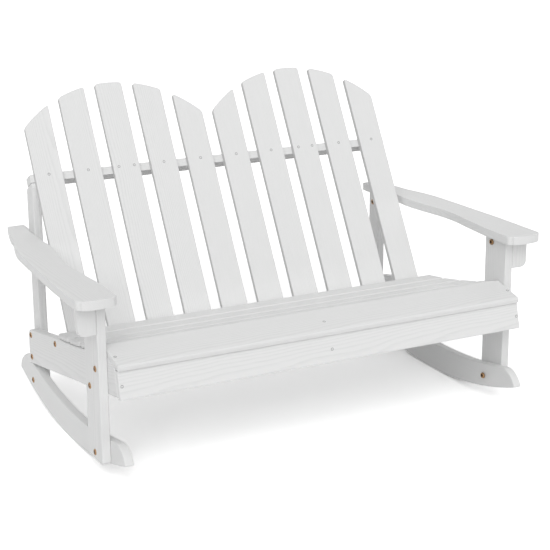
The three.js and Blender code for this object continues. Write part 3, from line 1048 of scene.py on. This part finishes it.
def drive_heads(name, head_mesh, places, materials, nodes):
    """Drives a head into every place, given as a point and the direction that it faces."""
    points = bpy.data.meshes.new(name)
    points.from_pydata([at for at, _ in places], [], [])
    aims = points.attributes.new(AIM, "FLOAT_VECTOR", "POINT")
    for item, (_, aim) in zip(aims.data, places):
        item.vector = aim
    head = put_in_scene(name + "_pattern", head_mesh)
    plating, recess = materials
    values = {
        "Head": head,
        "Seed": bpy.context.scene.bench_fixings.seed,
        "Material": plating,
        "Recess Material": recess,
    }
    mesh = made_by(shared_group("Driven Heads", heads_tree), values, name, points)
    bpy.data.objects.remove(head)
    bpy.data.meshes.remove(head_mesh)
    finish_piece(name, mesh, nodes)


# Operators


class BENCH_OT_stage(bpy.types.Operator):
    """Sets up the camera, the floor and the light"""

    bl_idname = "bench.stage"
    bl_label = "Studio"

    camera_place = (-1.31881, -2.65089, 1.15459)
    camera_right = Vector((0.89067198, -0.45460343, -0.00625619))
    camera_up = Vector((0.13432936, 0.24998586, 0.95888617))
    lens = 96.06
    sensor = 36
    near, far = 0.05, 200
    floor_tone = 0.95
    seen_gain = 0.72
    lamp_from = Vector((-0.34, -0.72, 0.605))

    def execute(self, context):
        stage = context.scene.bench_stage
        context.scene.view_settings.view_transform = "Standard"
        self.place_camera(context)
        self.lay_floor(stage.floor_size)
        self.light(context, stage)
        return {"FINISHED"}

    def place_camera(self, context):
        data = bpy.data.cameras.new("Camera")
        data.lens = self.lens
        data.sensor_width = self.sensor
        data.clip_start, data.clip_end = self.near, self.far
        camera = put_in_scene("Camera", data)
        back = self.camera_right.cross(self.camera_up)
        turn = Matrix((self.camera_right, self.camera_up, back)).transposed().to_4x4()
        camera.matrix_world = Matrix.Translation(self.camera_place) @ turn
        context.scene.camera = camera

    def lay_floor(self, size):
        """A matt floor, which the camera sees brighter than it lights the bench."""
        mesh = bpy.data.meshes.new("Floor")
        half = size / 2
        corners = [(-half, -half, 0), (half, -half, 0), (half, half, 0), (-half, half, 0)]
        mesh.from_pydata(corners, [], [(0, 1, 2, 3)])
        material = bpy.data.materials.new("Floor")
        material.use_nodes = True
        w = Wiring(material.node_tree)
        material.node_tree.nodes.remove(material.node_tree.nodes["Principled BSDF"])
        tone = w.math("MULTIPLY_ADD", seen_directly(w), self.seen_gain, self.floor_tone)
        matt = w.node("ShaderNodeBsdfDiffuse", {"Color": tone})
        w.feed(material.node_tree.nodes["Material Output"].inputs["Surface"], matt.outputs[0])
        mesh.materials.append(material)
        put_in_scene("Floor", mesh)

    def light(self, context, stage):
        """A white sky where it is seen, and a soft one that brightens overhead where it lights."""
        world = bpy.data.worlds.new("Studio")
        world.use_nodes = True
        w = Wiring(world.node_tree)
        seen = seen_directly(w)
        height = w.split(w.node("ShaderNodeTexCoord").outputs["Generated"])["Z"]
        soft = w.math("MULTIPLY_ADD", w.math("MAXIMUM", height, 0), stage.overhead, stage.sky)
        unseen = w.math("MULTIPLY", w.math("SUBTRACT", 1, seen), soft)
        background = world.node_tree.nodes["Background"]
        background.inputs["Color"].default_value = (1, 1, 1, 1)
        w.feed(background.inputs["Strength"], w.math("ADD", seen, unseen))
        context.scene.world = world
        data = bpy.data.lights.new("Front Lamp", "SUN")
        data.energy = stage.lamp
        data.angle = stage.lamp_spread
        lamp = put_in_scene("Front Lamp", data)
        lamp.rotation_euler = self.lamp_from.to_track_quat("Z", "Y").to_euler()


class BENCH_OT_side_frames(bpy.types.Operator):
    """Paints the rockers, side stringers, front legs and back posts"""

    bl_idname = "bench.side_frames"
    bl_label = "Side Frames"

    def execute(self, context):
        radius = context.scene.bench_boards.frame_edge
        paint = frame_paint()
        slope = side_direction(STRINGER_PITCH)
        for side in SIDES:
            dress_board(f"{side}_rocker", Y, Z, radius, paint)
            dress_board(f"{side}_side_stringer", slope, X.cross(slope), radius, paint)
            dress_board(f"{side}_front_leg", Z, Y, radius, paint)
            dress_board(f"{side}_back_post", Z, Y, radius, paint)
        return {"FINISHED"}


class BENCH_OT_arms(bpy.types.Operator):
    """Paints the armrests with the brackets and cleats that carry them"""

    bl_idname = "bench.arms"
    bl_label = "Arms"

    def execute(self, context):
        radius = context.scene.bench_boards.frame_edge
        paint = frame_paint()
        for side in SIDES:
            dress_board(f"{side}_armrest", Y, X, radius, paint)
            dress_board(f"{side}_arm_bracket", Z, X, radius, paint)
            dress_board(f"{side}_front_arm_cleat", Y, Z, radius, paint)
            dress_board(f"{side}_rear_arm_cleat", Y, Z, radius, paint)
        return {"FINISHED"}


class BENCH_OT_seat_boards(bpy.types.Operator):
    """Paints the front board, the apron and the middle stringer"""

    bl_idname = "bench.seat_boards"
    bl_label = "Seat Boards"

    def execute(self, context):
        boards = context.scene.bench_boards
        slope = side_direction(STRINGER_PITCH)
        dress_board("centre_stringer", slope, X.cross(slope), boards.frame_edge, frame_paint())
        board_slope = side_direction(FRONT_BOARD_PITCH)
        dress_board("front_seat_board", X, board_slope, boards.slat_edge, slat_paint())
        apron_slope = side_direction(math.pi / 2 - APRON_TILT)
        dress_board("apron", X, apron_slope, boards.slat_edge, slat_paint())
        return {"FINISHED"}


class BENCH_OT_seat_slats(bpy.types.Operator):
    """Lays the seat slats in their shallow hollow"""

    bl_idname = "bench.seat_slats"
    bl_label = "Seat Slats"

    def execute(self, context):
        boards = context.scene.bench_boards
        low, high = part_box("seat_slat_1")
        values = {
            "Slats": SEAT_SLATS,
            "Length": high.x - low.x,
            "Width": boards.seat_slat_width,
            "Thickness": boards.slat_thickness,
            "First": middle("seat_slat_1"),
            "Second": middle("seat_slat_2"),
            "Last": middle(f"seat_slat_{SEAT_SLATS}"),
            "Material": slat_paint(),
        }
        mesh = made_by(seat_slats_tree(), values, "seat_slats")
        mesh = ease_edges(mesh, boards.seat_edge)
        lay_grain(mesh, X, side_direction(SEAT_PITCH), "seat_slats")
        finish_piece("seat_slats", mesh, numbered("seat_slat", SEAT_SLATS))
        return {"FINISHED"}


class BENCH_OT_back_slats(bpy.types.Operator):
    """Stands the back slats in two fans"""

    bl_idname = "bench.back_slats"
    bl_label = "Back Slats"

    def execute(self, context):
        boards = context.scene.bench_boards
        back = context.scene.bench_back
        up = side_direction(math.pi / 2 - back.lean)
        foot = back_foot(context)
        tallest = (tall_slat_high.z - foot.z) / up.z
        values = {
            "Slats": back.slats,
            "Slats per Fan": back.fan_slats,
            "Width": back.slat_width,
            "Thickness": boards.slat_thickness,
            "Pitch": back.pitch,
            "Fan Radius": back.fan_radius,
            "Fan Height": tallest - back.fan_radius,
            "Corner Radius": back.corner_radius,
            "Columns": SLAT_COLUMNS,
            "Lean": back.lean,
            "Foot": foot,
            "Material": back_slat_paint_and_shade(),
        }
        mesh = made_by(fan_slats_tree(), values, "back_slats")
        mesh = ease_edges(mesh, boards.slat_edge)
        lay_grain(mesh, up, X, "back_slats")
        finish_piece("back_slats", mesh, numbered("back_slat", back.slats))
        return {"FINISHED"}


class BENCH_OT_back_rails(bpy.types.Operator):
    """Paints the two rails behind the back slats"""

    bl_idname = "bench.back_rails"
    bl_label = "Back Rails"

    def execute(self, context):
        boards = context.scene.bench_boards
        up = side_direction(math.pi / 2 - context.scene.bench_back.lean)
        dress_board("upper_back_rail", X, X.cross(up), boards.slat_edge, rail_paint_and_shade(up))
        dress_board("lower_back_rail", X, up, boards.frame_edge, frame_paint())
        return {"FINISHED"}


class BENCH_OT_bolts(bpy.types.Operator):
    """Fits the bolt heads, those that face outwards sunk a little, and the foot nuts"""

    bl_idname = "bench.bolts"
    bl_label = "Bolts"

    sunk = 1.8 * MM

    def execute(self, context):
        height = context.scene.bench_fixings.head_height
        places = []
        for side, outward in zip(SIDES, (-X, X)):
            for name in BOLTS:
                places.append(self.place(f"{side}_{name}", outward, height + self.sunk))
            for name in INWARD_HEADS:
                places.append(self.place(f"{side}_{name}", -outward, height))
        nodes = side_nodes(*BOLTS, *INWARD_HEADS)
        metals = (bolt_plating(), socket_shadow())
        drive_heads("bolt_heads", bolt_head(), places, metals, nodes)
        return {"FINISHED"}

    def place(self, node, aim, height):
        """The seat of a head, this far in from the outer end of its node."""
        low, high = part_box(node)
        at = middle(node)
        at.x = high.x if aim.x > 0 else low.x
        return at - aim * height, aim


class BENCH_OT_screws(bpy.types.Operator):
    """Drives the wood screws through the slats, the front board and the apron"""

    bl_idname = "bench.screws"
    bl_label = "Screws"

    # Each row's place up or along its boards, and how far out its screws stand
    slat_row = 375 * MM
    pair_offset = 17.4 * MM
    board_row = 44 * MM
    board_reach = 435.5 * MM
    apron_row = 25.7 * MM
    apron_reach = 436.6 * MM

    def execute(self, context):
        places = self.back_row(context) + self.board_row_places() + self.apron_row_places(context)
        metals = (screw_metal(), recess_metal_and_shade())
        drive_heads("screw_heads", screw_head(), places, metals, [])
        return {"FINISHED"}

    def back_row(self, context):
        """One screw in each slat at the upper rail, and a pair in each fan's middle slat."""
        back = context.scene.bench_back
        up = side_direction(math.pi / 2 - back.lean)
        row = back_foot(context) + up * self.slat_row
        places = []
        for i in range(back.slats):
            centre = (i - (back.slats - 1) / 2) * back.pitch
            paired = i % back.fan_slats == back.fan_slats // 2
            for offset in (-self.pair_offset, self.pair_offset) if paired else (0,):
                places.append((row + X * (centre + offset), X.cross(up)))
        return places

    def board_row_places(self):
        """Three screws through the front board, measured forward from its rear edge."""
        slope = side_direction(FRONT_BOARD_PITCH)
        thickness = bpy.context.scene.bench_boards.slat_thickness
        _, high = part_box("front_seat_board")
        crest = Vector((0, high.y - thickness * math.sin(FRONT_BOARD_PITCH), high.z))
        return self.three(crest - slope * self.board_row, X.cross(slope), self.board_reach)

    def apron_row_places(self, context):
        """Three screws through the apron, measured up from its lower edge."""
        up = side_direction(math.pi / 2 - APRON_TILT)
        thickness = context.scene.bench_boards.slat_thickness
        low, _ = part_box("apron")
        foot = Vector((0, low.y, low.z + thickness * math.sin(APRON_TILT)))
        return self.three(foot + up * self.apron_row, X.cross(up), self.apron_reach)

    def three(self, at, aim, reach):
        """Places at the middle and at both stringers."""
        return [(at + X * offset, aim) for offset in (-reach, 0, reach)]


class BENCH_PT_panel(bpy.types.Panel):
    """Lists the pieces of the bench in the sidebar"""

    bl_idname = "BENCH_PT_panel"
    bl_label = "Rocking Bench"
    bl_space_type = "VIEW_3D"
    bl_region_type = "UI"
    bl_category = "Bench"

    def draw(self, context):
        for name in ("bench_boards", "bench_back", "bench_paint", "bench_fixings", "bench_stage"):
            box = self.layout.box()
            settings = getattr(context.scene, name)
            for prop in settings.bl_rna.properties:
                if prop.identifier not in {"name", "rna_type"}:
                    box.prop(settings, prop.identifier)
        column = self.layout.column(align=True)
        for operator in OPERATORS:
            column.operator(operator.bl_idname)


SETTINGS = {
    "bench_boards": BenchBoards,
    "bench_back": BenchBack,
    "bench_paint": BenchPaint,
    "bench_fixings": BenchFixings,
    "bench_stage": BenchStage,
}
OPERATORS = (
    BENCH_OT_stage,
    BENCH_OT_side_frames,
    BENCH_OT_arms,
    BENCH_OT_seat_boards,
    BENCH_OT_seat_slats,
    BENCH_OT_back_slats,
    BENCH_OT_back_rails,
    BENCH_OT_bolts,
    BENCH_OT_screws,
)


def register():
    for kind in (*SETTINGS.values(), *OPERATORS, BENCH_PT_panel):
        bpy.utils.register_class(kind)
    for name, kind in SETTINGS.items():
        setattr(bpy.types.Scene, name, PointerProperty(type=kind))


def unregister():
    for name in SETTINGS:
        delattr(bpy.types.Scene, name)
    for kind in reversed((*SETTINGS.values(), *OPERATORS, BENCH_PT_panel)):
        bpy.utils.unregister_class(kind)


def main():
    register()
    for operator in OPERATORS:
        namespace, name = operator.bl_idname.split(".")
        getattr(getattr(bpy.ops, namespace), name)()


if __name__ == "__main__":
    main()
